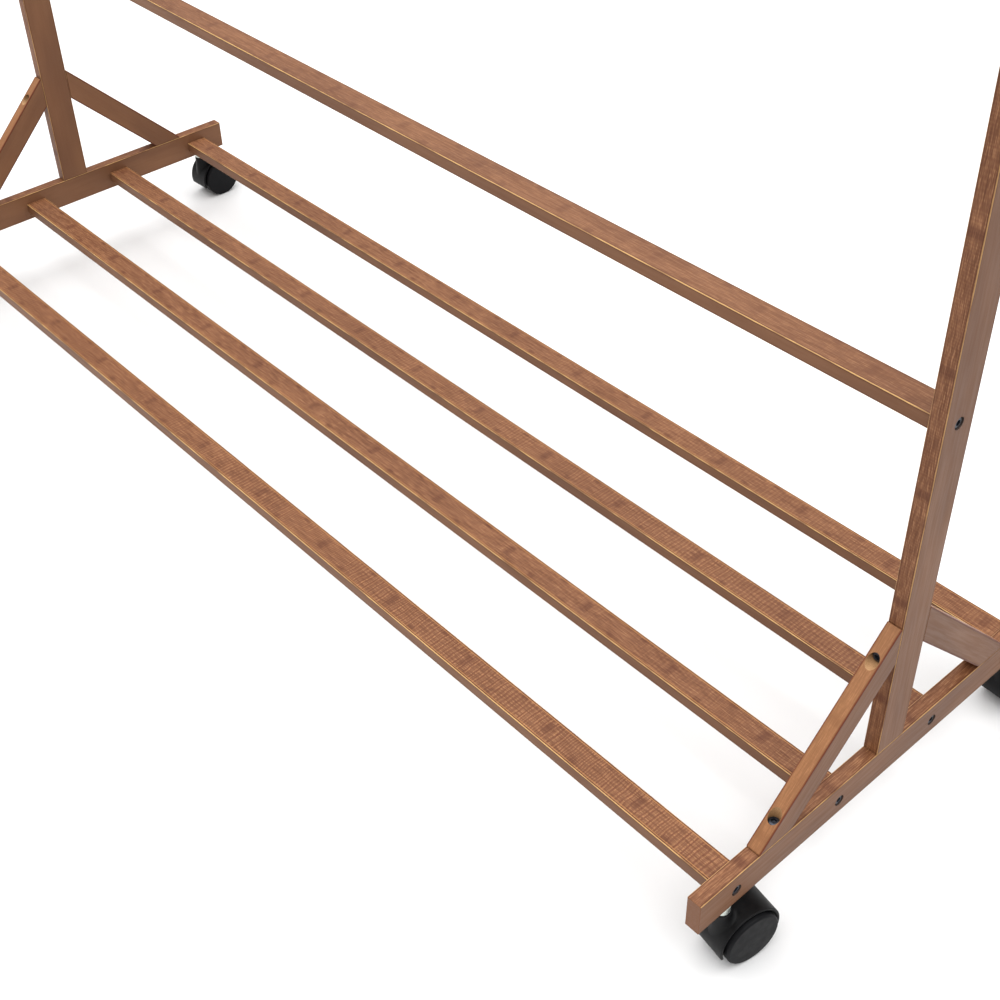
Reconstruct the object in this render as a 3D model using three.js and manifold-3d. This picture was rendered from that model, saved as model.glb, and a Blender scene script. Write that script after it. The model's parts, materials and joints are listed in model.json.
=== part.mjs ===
// Rolling clothes rack in stained bamboo: two braced end frames on swivel casters, joined by a
// four-slat shelf, a flat mid rail and a round hanging rod. Millimetres, +Z up.
// X runs along the slats, the front is -Y, and the origin is on the floor below the middle of the rack.

import * as THREE from 'three';
import { mergeVertices } from 'three/addons/utils/BufferGeometryUtils.js';
import Module from 'manifold-3d';

const wasm = await Module();
wasm.setup();

// ---- driving dimensions -------------------------------------------------------------------

const RACK_WIDTH = 1470;            // over the outer faces of the end frames
const RACK_DEPTH = 500;             // length of a foot rail
const RACK_HEIGHT = 1600;           // floor to the top of the uprights
const BOARD = 15;                   // thickness of every board in an end frame
const JOINT_GAP = 0.3;              // hairline between pieces that butt together

const MOUNT_HEIGHT = 74;            // floor to the underside of the foot rail
const RAIL_HEIGHT = 38;
const RAIL_TOP = MOUNT_HEIGHT + RAIL_HEIGHT;
const UPRIGHT_WIDTH = 38;

const SLAT_WIDTH = 29;
const SLAT_THICKNESS = 14;
const SLAT_PITCH = 136;
const SLAT_DROP = 13.5;             // top of a slat below the top of the foot rail
const SLAT_Z = RAIL_TOP - SLAT_DROP - SLAT_THICKNESS / 2;
const SLAT_NAMES = ['front', 'mid_front', 'mid_rear', 'rear'];

const MID_RAIL_Z = RAIL_TOP + 363;
const ROD_RADIUS = 12.5;
const ROD_Z = RACK_HEIGHT - 45;

const BRACE_REACH = 160;            // from the upright's face to the brace's tip on the foot rail
const BRACE_WIDTH = 30;             // measured square to its 45 degree edges
const BRACE_TIP = 1.5;              // the sharp corners are cut back this much
const BRACE_SCREW_AT = 134.2;       // screw axis from the inside corner of the frame
const BRACE_HEAD_TOP = 19.5;        // top of the screw head above the face that the brace lies on

const SCREW = { radius: 3, head: 5, headHeight: 5, socketFlats: 5, socketDepth: 2.6 };
const HOLE_CLEARANCE = 0.3;
const COUNTERBORE_RADIUS = 5.75;
const HEAD_RECESS = 1;              // side screws sit this far below the board's face
const SLAT_SCREW_LENGTH = 45;       // head included
const BASE_SCREW_LENGTH = 68;
const BASE_SCREW_RECESS = 4;
const BRACE_SCREW_LENGTH = 36;

const CASTER_Y = 212;               // caster stem from the rack's middle
const CASTER_HEADING = { front_left: -6, front_right: -9.5, rear_left: 2, rear_right: -3 };
const WHEEL_RADIUS = 28;
const WHEEL_INNER = 6.3;            // inner and outer faces of a wheel from the caster's middle plane
const WHEEL_OUTER = 22;
const WHEEL_EDGE = 2;               // chamfer between the tread and the disc face
const DISC_DOME = 0.4;
const TRAIL = 21.5;                 // wheel axle behind the stem
const AXLE_RADIUS = 3;
const AXLE_LENGTH = 36;
const HUB_RADIUS = 9;
const WEB_HALF = 5.5;
const HOOD = { radius: 32.4, wall: 2.6, half: 17.5, rearEnd: -10, frontEnd: 197 };  // round the axle
const BOSS_RADIUS = 8.5;
const BOSS_BOTTOM = 38;
const COLLAR_RADIUS = 7.8;
const COLLAR_HEIGHT = 7.7;
const PIN_RADIUS = 3.5;
const PIN_BOTTOM = 46;
const RUNNING_GAP = 0.1;
const STUD = { radius: 2.9, length: 9 };
const INSERT = { radius: 4.6, bore: 3.2, length: 10 };

// Sides of the round pieces and holes. Pieces that run in each other have the same number.
const SIDES = { hole: 16, screw: 12, small: 16, rod: 24, wheel: 32 };
const ARC_STEPS = 16;

// ---- materials ----------------------------------------------------------------------------

const finish = (color, roughness, metalness) => new THREE.MeshStandardMaterial({ color, roughness, metalness });
const bamboo = finish(0x9a6a4a, 0.45, 0);
const blackSteel = finish(0x1c1d20, 0.35, 0.8);
const zincSteel = finish(0xc4c8c6, 0.3, 0.9);
const brassSteel = finish(0xb39b5a, 0.4, 0.9);
const blackPlastic = finish(0x1f1f21, 0.45, 0);
const wheelPlastic = finish(0x2c2c2e, 0.5, 0);

// ---- helpers ------------------------------------------------------------------------------

// Turns a closed three.js geometry into a manifold solid.
function solid(geometry) {
  const bare = new THREE.BufferGeometry();
  bare.setAttribute('position', geometry.getAttribute('position').clone());
  if (geometry.index) bare.setIndex(geometry.index.clone());
  const merged = mergeVertices(bare, 1e-4);
  return new wasm.Manifold(new wasm.Mesh({
    numProp: 3,
    vertProperties: new Float32Array(merged.getAttribute('position').array),
    triVerts: new Uint32Array(merged.index.array),
  }));
}

// Turns a manifold solid back into a named mesh.
function mesh(name, shape, material) {
  const { vertProperties, triVerts } = shape.getMesh();
  const geometry = new THREE.BufferGeometry();
  geometry.setAttribute('position', new THREE.BufferAttribute(new Float32Array(vertProperties), 3));
  geometry.setIndex(new THREE.BufferAttribute(new Uint32Array(triVerts), 1));
  geometry.computeVertexNormals();
  const made = new THREE.Mesh(geometry, material);
  made.name = name;
  return made;
}

const block = (sx, sy, sz, x = 0, y = 0, z = 0) => solid(new THREE.BoxGeometry(sx, sy, sz).translate(x, y, z));

// Points a geometry that was made along +Y down another direction and moves it to a start point.
function aim(geometry, start, direction) {
  const turn = new THREE.Quaternion().setFromUnitVectors(
    new THREE.Vector3(0, 1, 0), new THREE.Vector3(...direction).normalize());
  return geometry.applyQuaternion(turn).translate(...start);
}

// A solid of revolution from [radius, distance] pairs, starting at a point and running along a direction.
function turned(profile, sides, start, direction) {
  const points = profile.map(([radius, along]) => new THREE.Vector2(radius, along));
  return solid(aim(new THREE.LatheGeometry(points, sides), start, direction));
}

function rod(radius, length, start, direction, sides = SIDES.small) {
  return turned([[0, 0], [radius, 0], [radius, length], [0, length]], sides, start, direction);
}

// The hole for one screw: a counterbore round its head and a clearance hole along its shank.
// The head's top is at start, and the screw runs along direction.
function screwHole(start, direction, length, open = 14) {
  const shank = SCREW.radius + HOLE_CLEARANCE;
  const seat = SCREW.headHeight + HOLE_CLEARANCE;
  const profile = [[0, -open], [COUNTERBORE_RADIUS, -open], [COUNTERBORE_RADIUS, seat],
    [shank, seat], [shank, length + HOLE_CLEARANCE], [0, length + HOLE_CLEARANCE]];
  return turned(profile, SIDES.hole, start, direction);
}

// A furniture screw with a cylinder head and a hexagon socket.
function screw(name, start, direction, length) {
  const body = turned([[0, 0], [SCREW.head, 0], [SCREW.head, SCREW.headHeight], [SCREW.radius, SCREW.headHeight],
    [SCREW.radius, length], [0, length]], SIDES.screw, start, direction);
  const corner = SCREW.socketFlats / Math.sqrt(3);
  const socket = turned([[0, -1], [corner, -1], [corner, SCREW.socketDepth], [0, SCREW.socketDepth]],
    6, start, direction);
  return mesh(name, body.subtract(socket), blackSteel);
}

// Extrudes an outline of [y, z] pairs through the thickness from x0 to x1.
function plate(outline, x0, x1, curveSegments = ARC_STEPS) {
  const shape = outline instanceof THREE.Shape
    ? outline : new THREE.Shape(outline.map(([y, z]) => new THREE.Vector2(y, z)));
  const geometry = new THREE.ExtrudeGeometry(shape, { depth: x1 - x0, bevelEnabled: false, curveSegments });
  const axes = new THREE.Matrix4().makeBasis(
    new THREE.Vector3(0, 1, 0), new THREE.Vector3(0, 0, 1), new THREE.Vector3(1, 0, 0));
  return solid(geometry.applyMatrix4(axes).translate(x0, 0, 0));
}

// ---- end frames ---------------------------------------------------------------------------

const FRAME_X = RACK_WIDTH / 2 - BOARD / 2;     // middle plane of an end frame
const INNER_X = RACK_WIDTH / 2 - BOARD;
const HEAD_X = RACK_WIDTH / 2 - HEAD_RECESS;    // tops of the screw heads in an end frame's outer face
const slatY = (index) => (index - 1.5) * SLAT_PITCH;

// One end frame, drawn as the right-hand one. The left one is the same frame turned half a turn.
function endFrame(side) {
  const frame = new THREE.Group();
  const facing = side === 'right' ? ['front', 'rear'] : ['rear', 'front'];
  const inward = [-1, 0, 0];
  const up = [0, 0, 1];
  const baseStart = [FRAME_X, 0, MOUNT_HEIGHT + BASE_SCREW_RECESS];
  const baseHole = screwHole(baseStart, up, BASE_SCREW_LENGTH);
  const railHigh = [HEAD_X, 0, MID_RAIL_Z];
  const rodHigh = [HEAD_X, 0, ROD_Z];

  let rail = block(BOARD, RACK_DEPTH, RAIL_HEIGHT, FRAME_X, 0, MOUNT_HEIGHT + RAIL_HEIGHT / 2).subtract(baseHole);
  const uprightBottom = RAIL_TOP + JOINT_GAP;
  let upright = block(BOARD, UPRIGHT_WIDTH, RACK_HEIGHT - uprightBottom,
    FRAME_X, 0, (RACK_HEIGHT + uprightBottom) / 2).subtract(baseHole);

  SLAT_NAMES.forEach((_, index) => {
    rail = rail.subtract(screwHole([HEAD_X, slatY(index), SLAT_Z], inward, SLAT_SCREW_LENGTH));
  });
  for (const start of [railHigh, rodHigh]) {
    upright = upright.subtract(screwHole(start, inward, SLAT_SCREW_LENGTH));
  }

  facing.forEach((end, index) => {
    const toEnd = index === 0 ? -1 : 1;
    const face = toEnd * UPRIGHT_WIDTH / 2;
    const near = JOINT_GAP;
    const short = BRACE_REACH - BRACE_WIDTH * Math.SQRT2;
    const outline = [[near, short], [short, near], [BRACE_REACH - BRACE_TIP, near],
      [BRACE_REACH - BRACE_TIP, BRACE_TIP], [BRACE_TIP, BRACE_REACH - BRACE_TIP], [near, BRACE_REACH - BRACE_TIP]]
      .map(([out, high]) => [face + toEnd * out, RAIL_TOP + high]);
    const downStart = [FRAME_X, face + toEnd * BRACE_SCREW_AT, RAIL_TOP + BRACE_HEAD_TOP];
    const sideStart = [FRAME_X, face + toEnd * BRACE_HEAD_TOP, RAIL_TOP + BRACE_SCREW_AT];
    const down = [0, 0, -1];
    const toUpright = [0, -toEnd, 0];
    const downHole = screwHole(downStart, down, BRACE_SCREW_LENGTH);
    const sideHole = screwHole(sideStart, toUpright, BRACE_SCREW_LENGTH);
    const brace = plate(outline, INNER_X, RACK_WIDTH / 2).subtract(downHole).subtract(sideHole);
    rail = rail.subtract(downHole).subtract(insertHole(toEnd * CASTER_Y));
    upright = upright.subtract(sideHole);

    frame.add(mesh(`brace_${side}_${end}`, brace, bamboo));
    frame.add(screw(`brace_foot_screw_${side}_${end}`, downStart, down, BRACE_SCREW_LENGTH));
    frame.add(screw(`brace_post_screw_${side}_${end}`, sideStart, toUpright, BRACE_SCREW_LENGTH));
    frame.add(casterFixings(`${end}_${side}`, toEnd * CASTER_Y));
  });

  frame.add(mesh(`foot_rail_${side}`, rail, bamboo));
  frame.add(mesh(`upright_${side}`, upright, bamboo));
  frame.add(screw(`base_screw_${side}`, baseStart, up, BASE_SCREW_LENGTH));
  SLAT_NAMES.forEach((_, index) => {
    const name = SLAT_NAMES[side === 'right' ? index : SLAT_NAMES.length - 1 - index];
    frame.add(screw(`slat_screw_${name}_${side}`, [HEAD_X, slatY(index), SLAT_Z], inward, SLAT_SCREW_LENGTH));
  });
  frame.add(screw(`mid_rail_screw_${side}`, railHigh, inward, SLAT_SCREW_LENGTH));
  frame.add(screw(`rod_screw_${side}`, rodHigh, inward, SLAT_SCREW_LENGTH));
  frame.rotation.z = side === 'right' ? 0 : Math.PI;
  return frame;
}

// The blind hole in a foot rail's underside that takes a threaded insert.
function insertHole(y) {
  const start = [FRAME_X, y, MOUNT_HEIGHT - 1];
  return rod(INSERT.radius + HOLE_CLEARANCE, INSERT.length + 1.5, start, [0, 0, 1]);
}

// The threaded insert in the foot rail, and the stem that is screwed into it: a stud, a collar and the
// plain pin that the caster turns on.
function casterFixings(name, y) {
  const fixings = new THREE.Group();
  const up = [0, 0, 1];
  const sleeve = rod(INSERT.radius, INSERT.length, [FRAME_X, y, MOUNT_HEIGHT], up)
    .subtract(rod(INSERT.bore, INSERT.length + 2, [FRAME_X, y, MOUNT_HEIGHT - 1], up));
  const collarTop = MOUNT_HEIGHT - JOINT_GAP - PIN_BOTTOM;
  const collarBottom = collarTop - COLLAR_HEIGHT;
  const stem = turned([[0, 0], [PIN_RADIUS, 0], [PIN_RADIUS, collarBottom], [COLLAR_RADIUS, collarBottom],
    [COLLAR_RADIUS, collarTop], [STUD.radius, collarTop], [STUD.radius, collarTop + STUD.length],
    [0, collarTop + STUD.length]], SIDES.small, [FRAME_X, y, PIN_BOTTOM], up);
  fixings.add(mesh(`threaded_insert_${name}`, sleeve, brassSteel));
  fixings.add(mesh(`caster_stem_${name}`, stem, zincSteel));
  return fixings;
}

// ---- shelf, mid rail and hanging rod --------------------------------------------------------

const SPAN = RACK_WIDTH - 2 * BOARD - 2 * JOINT_GAP;

// Cuts the screw holes in both ends of a piece that spans the two end frames.
function drillEnds(shape, y, z) {
  return shape
    .subtract(screwHole([HEAD_X, y, z], [-1, 0, 0], SLAT_SCREW_LENGTH))
    .subtract(screwHole([-HEAD_X, y, z], [1, 0, 0], SLAT_SCREW_LENGTH));
}

function crossPieces() {
  const pieces = new THREE.Group();
  SLAT_NAMES.forEach((name, index) => {
    const slat = block(SPAN, SLAT_WIDTH, SLAT_THICKNESS, 0, slatY(index), SLAT_Z);
    pieces.add(mesh(`slat_${name}`, drillEnds(slat, slatY(index), SLAT_Z), bamboo));
  });
  const midRail = block(SPAN, SLAT_WIDTH, SLAT_THICKNESS, 0, 0, MID_RAIL_Z);
  pieces.add(mesh('mid_rail', drillEnds(midRail, 0, MID_RAIL_Z), bamboo));
  const hangingRod = rod(ROD_RADIUS, SPAN, [-SPAN / 2, 0, ROD_Z], [1, 0, 0], SIDES.rod);
  pieces.add(mesh('hanging_rod', drillEnds(hangingRod, 0, ROD_Z), bamboo));
  return pieces;
}

// ---- casters --------------------------------------------------------------------------------

// The hood as it turns about the stem at (0, 0), with the wheels trailing towards +Y: an arched cover,
// a web between the wheels that carries the axle, and a boss round the stem's pin.
function hoodSolid() {
  const { radius, wall, half } = HOOD;
  const rearEnd = THREE.MathUtils.degToRad(HOOD.rearEnd);
  const frontEnd = THREE.MathUtils.degToRad(HOOD.frontEnd);
  const cover = new THREE.Shape();
  cover.absarc(TRAIL, WHEEL_RADIUS, radius, rearEnd, frontEnd, false);
  cover.absarc(TRAIL, WHEEL_RADIUS, radius - wall, frontEnd, rearEnd, true);
  const web = new THREE.Shape();
  web.absarc(TRAIL, WHEEL_RADIUS, radius - wall / 2, rearEnd, frontEnd, false);
  web.absarc(TRAIL, WHEEL_RADIUS, HUB_RADIUS, 1.25 * Math.PI, 1.75 * Math.PI, false);
  const bossTop = MOUNT_HEIGHT - JOINT_GAP - COLLAR_HEIGHT - JOINT_GAP;
  const hoodTop = WHEEL_RADIUS + radius;
  const saddle = new THREE.Shape();
  saddle.moveTo(-BOSS_RADIUS, bossTop - 6);
  saddle.lineTo(-BOSS_RADIUS - 0.8, BOSS_BOTTOM - 1);
  saddle.lineTo(TRAIL, hoodTop - wall / 2);
  saddle.lineTo(TRAIL, hoodTop - 0.2);
  saddle.lineTo(BOSS_RADIUS, bossTop - 3);
  const up = [0, 0, 1];
  const across = [1, 0, 0];
  const inside = rod(radius - wall, 2 * half + 2, [-half - 1, TRAIL, WHEEL_RADIUS], across, SIDES.wheel);
  const boss = rod(BOSS_RADIUS, bossTop - BOSS_BOTTOM, [0, 0, BOSS_BOTTOM], up).subtract(inside);
  const blend = plate(saddle, -BOSS_RADIUS + 1, BOSS_RADIUS - 1).subtract(inside);
  const pinHole = rod(PIN_RADIUS + RUNNING_GAP, bossTop - PIN_BOTTOM + 2, [0, 0, PIN_BOTTOM - JOINT_GAP], up);
  const axleHole = rod(AXLE_RADIUS + RUNNING_GAP, 2 * WEB_HALF + 4, [-WEB_HALF - 2, TRAIL, WHEEL_RADIUS],
    across, SIDES.wheel);
  return plate(cover, -half, half)
    .add(plate(web, -WEB_HALF, WEB_HALF))
    .add(boss)
    .add(blend)
    .subtract(pinHole)
    .subtract(axleHole);
}

// A wheel whose outer face is a plain, slightly domed disc, with a blind bore in its inner face.
function wheelSolid(toSide) {
  const bore = AXLE_RADIUS + RUNNING_GAP;
  const width = WHEEL_OUTER - WHEEL_INNER;
  const boreDepth = AXLE_LENGTH / 2 - WHEEL_INNER + JOINT_GAP;
  const profile = [[0, boreDepth], [bore, boreDepth], [bore, 0], [WHEEL_RADIUS, 0],
    [WHEEL_RADIUS, width - WHEEL_EDGE], [WHEEL_RADIUS - WHEEL_EDGE, width - DISC_DOME], [0, width]];
  return turned(profile, SIDES.wheel, [toSide * WHEEL_INNER, TRAIL, WHEEL_RADIUS], [toSide, 0, 0]);
}

function caster(name, x, y) {
  const group = new THREE.Group();
  group.add(mesh(`caster_hood_${name}`, hoodSolid(), blackPlastic));
  const axle = rod(AXLE_RADIUS, AXLE_LENGTH, [-AXLE_LENGTH / 2, TRAIL, WHEEL_RADIUS], [1, 0, 0], SIDES.wheel);
  group.add(mesh(`caster_axle_${name}`, axle, zincSteel));
  group.add(mesh(`wheel_left_${name}`, wheelSolid(-1), wheelPlastic));
  group.add(mesh(`wheel_right_${name}`, wheelSolid(1), wheelPlastic));
  group.position.set(x, y, 0);
  group.rotation.z = THREE.MathUtils.degToRad(CASTER_HEADING[name]);
  return group;
}

// ---- assembly -------------------------------------------------------------------------------

const group = new THREE.Group();
group.add(endFrame('right'));
group.add(endFrame('left'));
group.add(crossPieces());
for (const end of ['front', 'rear']) {
  for (const side of ['left', 'right']) {
    const x = side === 'right' ? FRAME_X : -FRAME_X;
    const y = end === 'rear' ? CASTER_Y : -CASTER_Y;
    group.add(caster(`${end}_${side}`, x, y));
  }
}

export default group;
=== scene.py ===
"""Looks for the rolling clothes rack: stained bamboo boards, black screws and twin-wheel casters."""
import json
import math

import bmesh
import bpy
from mathutils import Matrix, Vector


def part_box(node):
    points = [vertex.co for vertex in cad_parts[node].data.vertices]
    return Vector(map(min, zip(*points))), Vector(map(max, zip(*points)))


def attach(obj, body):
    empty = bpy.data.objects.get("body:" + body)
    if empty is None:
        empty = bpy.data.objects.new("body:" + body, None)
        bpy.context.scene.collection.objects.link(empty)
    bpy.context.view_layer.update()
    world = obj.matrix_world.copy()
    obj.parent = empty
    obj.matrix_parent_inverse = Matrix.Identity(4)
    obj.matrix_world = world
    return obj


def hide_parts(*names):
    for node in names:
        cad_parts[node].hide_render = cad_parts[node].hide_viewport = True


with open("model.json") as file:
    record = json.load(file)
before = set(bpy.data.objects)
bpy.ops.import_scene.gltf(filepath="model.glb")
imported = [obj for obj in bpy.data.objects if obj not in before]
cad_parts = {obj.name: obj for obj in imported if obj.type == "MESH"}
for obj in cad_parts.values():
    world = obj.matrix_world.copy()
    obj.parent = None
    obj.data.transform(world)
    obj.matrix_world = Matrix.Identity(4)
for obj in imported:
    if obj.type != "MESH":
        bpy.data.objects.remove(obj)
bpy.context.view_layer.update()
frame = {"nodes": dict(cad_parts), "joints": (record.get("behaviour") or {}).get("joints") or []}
MM = 0.001
X, Y, Z = Vector((1, 0, 0)), Vector((0, 1, 0)), Vector((0, 0, 1))
SIDES = ("left", "right")
ENDS = ("front", "rear")
SLATS = ("front", "mid_front", "mid_rear", "rear")
CORNERS = [f"{end}_{side}" for end in ENDS for side in SIDES]
scene = bpy.context.scene
INWARD = {"left": X, "right": -X}  # from an end frame to the rack's middle
TOWARD = {"front": Y, "rear": -Y}  # from a foot rail's end to its middle

# ---- sizes that follow the CAD part, in metres ----
ARRIS = 0.8 * MM                   # rounding along the boards' edges
HEAD_RADIUS = 5 * MM
HEAD_HEIGHT = 5 * MM
SHANK_RADIUS = 3 * MM
COUNTERBORE_RADIUS = 5.75 * MM
HOLE_CLEARANCE = 0.3 * MM
SOCKET_FLATS = 5 * MM
SOCKET_DEPTH = 2.6 * MM
BRACE_WIDTH = 30 * MM
BRACE_TIP = 1.5 * MM
WHEEL_RADIUS = 28 * MM
WHEEL_INNER = 6.3 * MM
WHEEL_OUTER = 22 * MM
TRAIL = 21.5 * MM
AXLE_BORE = 3.1 * MM
HOOD_RADIUS = 32.4 * MM
HOOD_WALL = 2.6 * MM
HOOD_HALF = 17.5 * MM
HOOD_REAR_END = math.radians(-10)
HOOD_FRONT_END = math.radians(197)
WEB_HALF = 5.5 * MM
HUB_RADIUS = 9 * MM
BOSS_RADIUS = 8.5 * MM
BOSS_TOP = 65.7 * MM
PIN_BORE = 3.6 * MM
PIN_BOTTOM = 46 * MM
PIN_RADIUS = 3.5 * MM
COLLAR_RADIUS = 7.8 * MM
COLLAR_BOTTOM = 66 * MM
COLLAR_TOP = 73.7 * MM
STUD_RADIUS = 2.9 * MM

# ---- camera ----
SENSOR_WIDTH = 36
LENS = 53.87
SHIFT = (-0.0086, -0.0490)
CAMERA_PLACE = (1.1709, -0.8284, 1.1616)
CAMERA_AZIMUTH = math.radians(48.736)
CAMERA_ELEVATION = math.radians(38.817)
CAMERA_ROLL = math.radians(-1.281)

# ---- light ----
WORLD_STRENGTH = 0.58
TOP_POWER = 560
FRONT_POWER = 10
STAIN_LEVEL = (0.60, 0.54, 0.47)   # what the stain's colours, written as they look lit, are multiplied by


# ---- camera, light and floor ----

def placed(x_axis, y_axis, z_axis, origin=(0, 0, 0)):
    """The matrix that turns +X, +Y and +Z to the given directions and moves the origin."""
    return Matrix.Translation(origin) @ Matrix((x_axis, y_axis, z_axis)).transposed().to_4x4()


def turned_axes(azimuth, elevation, roll):
    """The camera's right, up and back directions. Azimuth 0 looks along +Y."""
    back = Vector((math.sin(azimuth) * math.cos(elevation), -math.cos(azimuth) * math.cos(elevation),
                   math.sin(elevation)))
    right = Z.cross(back).normalized()
    up = back.cross(right)
    return (math.cos(roll) * right + math.sin(roll) * up, math.cos(roll) * up - math.sin(roll) * right, back)


def make_camera():
    data = bpy.data.cameras.new("camera")
    data.sensor_width = SENSOR_WIDTH
    data.lens = LENS
    data.shift_x, data.shift_y = SHIFT
    data.clip_end = 50
    camera = bpy.data.objects.new("camera", data)
    scene.collection.objects.link(camera)
    camera.matrix_world = placed(*turned_axes(CAMERA_AZIMUTH, CAMERA_ELEVATION, CAMERA_ROLL), CAMERA_PLACE)
    scene.camera = camera


def area_light(name, place, target, size, power):
    data = bpy.data.lights.new(name, "AREA")
    data.shape = "RECTANGLE"
    data.size, data.size_y = size
    data.energy = power
    light = bpy.data.objects.new(name, data)
    light.location = place
    light.rotation_euler = (Vector(target) - Vector(place)).to_track_quat("-Z", "Y").to_euler()
    scene.collection.objects.link(light)


def make_studio():
    """A bright even room: a white floor, a pale surround and one large soft light overhead."""
    world = bpy.data.worlds.new("studio")
    world.use_nodes = True
    background = world.node_tree.nodes["Background"]
    background.inputs["Color"].default_value = (1, 1, 1, 1)
    background.inputs["Strength"].default_value = WORLD_STRENGTH
    scene.world = world
    area_light("top_softbox", place=(0, 0, 4.5), target=(0, 0, 0), size=(8, 8), power=TOP_POWER)
    area_light("front_softbox", place=(0.5, -4, 2.2), target=(0, 0, 0.4), size=(3, 2), power=FRONT_POWER)
    bpy.ops.mesh.primitive_plane_add(size=40, location=(0, 0, 0))
    floor = bpy.context.object
    floor.name = "floor"
    floor.data.materials.append(floor_material())
    scene.view_settings.view_transform = "Standard"


def floor_material():
    material, shader = new_material("floor_paper")
    shader.inputs["Base Color"].default_value = (0.74, 0.74, 0.74, 1)
    shader.inputs["Roughness"].default_value = 0.9
    shader.inputs["Specular IOR Level"].default_value = 0.1
    return material


# ---- node helpers ----

def new_material(name):
    material = bpy.data.materials.new(name)
    material.use_nodes = True
    return material, material.node_tree.nodes["Principled BSDF"]


class Graph:
    """A short way to write shader nodes: each call adds a node and returns its output."""

    def __init__(self, tree):
        self.nodes, self.links = tree.nodes, tree.links

    def plug(self, socket, value):
        if isinstance(value, bpy.types.NodeSocket):
            self.links.new(value, socket)
        else:
            socket.default_value = value

    def attribute(self, name, output="Vector"):
        node = self.nodes.new("ShaderNodeAttribute")
        node.attribute_name = name
        return node.outputs[output]

    def maths(self, operation, a, b=0.0, clamp=False):
        node = self.nodes.new("ShaderNodeMath")
        node.operation = operation
        node.use_clamp = clamp
        self.plug(node.inputs[0], a)
        self.plug(node.inputs[1], b)
        return node.outputs[0]

    def times(self, a, b, clamp=False):
        return self.maths("MULTIPLY", a, b, clamp)

    def minus(self, a, b):
        return self.maths("SUBTRACT", a, b)

    def wave(self, place, period, bend, amount):
        """A sine along place with the given period, bent by a noise."""
        phase = self.maths("ADD", self.times(place, 2 * math.pi / period), self.times(bend, amount))
        return self.maths("SINE", phase)

    def vector(self, operation, a, b):
        node = self.nodes.new("ShaderNodeVectorMath")
        node.operation = operation
        self.plug(node.inputs[0], a)
        self.plug(node.inputs[1], b)
        return node.outputs[0]

    def split(self, vector):
        node = self.nodes.new("ShaderNodeSeparateXYZ")
        self.plug(node.inputs[0], vector)
        return node.outputs

    def join(self, x, y, z):
        node = self.nodes.new("ShaderNodeCombineXYZ")
        for socket, value in zip(node.inputs, (x, y, z)):
            self.plug(socket, value)
        return node.outputs[0]

    def noise(self, vector, scale=1.0, detail=2.0, roughness=0.5):
        node = self.nodes.new("ShaderNodeTexNoise")
        self.plug(node.inputs["Vector"], vector)
        self.plug(node.inputs["Scale"], scale)
        self.plug(node.inputs["Detail"], detail)
        self.plug(node.inputs["Roughness"], roughness)
        return node.outputs["Fac"]

    def ramp(self, value, low, high, to_low=0.0, to_high=1.0):
        """Maps low..high to to_low..to_high smoothly and holds the ends."""
        node = self.nodes.new("ShaderNodeMapRange")
        node.interpolation_type = "SMOOTHSTEP"
        self.plug(node.inputs[0], value)
        for index, number in enumerate((low, high, to_low, to_high), start=1):
            self.plug(node.inputs[index], number)
        return node.outputs[0]

    def mix(self, amount, a, b):
        node = self.nodes.new("ShaderNodeMix")
        node.data_type = "RGBA"
        self.plug(node.inputs[0], amount)
        self.plug(node.inputs[6], a)
        self.plug(node.inputs[7], b)
        return node.outputs[2]

    def bump(self, height, strength, distance):
        node = self.nodes.new("ShaderNodeBump")
        node.inputs["Strength"].default_value = strength
        node.inputs["Distance"].default_value = distance
        self.plug(node.inputs["Height"], height)
        return node.outputs[0]


def rgb(red, green, blue):
    """A colour given as 0 to 255 sRGB values, in the shader's linear values."""
    shares = [value / 255 for value in (red, green, blue)]
    return tuple(c / 12.92 if c <= 0.04045 else ((c + 0.055) / 1.055) ** 2.4 for c in shares) + (1,)


# ---- bamboo ----
# Every board carries these attributes.
# "grain" is the place in the board's own axes, with x along the grain.
# "half" holds its half width, its half thickness and its edge tone. Arrises are rubbed pale where the tone is
# above 0, and dark where it is below 0.
# "style" holds how strong the planer's chatter is, whether the broad faces show the fibres (1) or the narrow
# ones (0), and how strong the fibres are.
# "seed" moves the pattern so that no two boards match.
COARSE_CHATTER = 4.6 * MM
FINE_CHATTER = 2.9 * MM
SANDING_PITCH = 1.7 * MM
CANE_LENGTH = 115 * MM             # from one node of the cane to the next
STRIP_WIDTH = 14.5 * MM            # the strips that a board is laminated from
STRIP_START = 50 * MM              # where the strips are counted from, past the widest board's edge
STRIP_STAGGER = 0.37               # how far the nodes shift from strip to strip, in cane lengths
BOARD_STAGGER = 0.77               # how far they shift for each 1 of the seed
EDGE_WANDER = 1.0 * MM             # how far the wear along an arris wanders in and out


def stain(red, green, blue):
    """A colour of the stained bamboo, given as it looks in this scene's light."""
    return tuple(level * c for level, c in zip(STAIN_LEVEL, rgb(red, green, blue))) + (1,)


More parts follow.
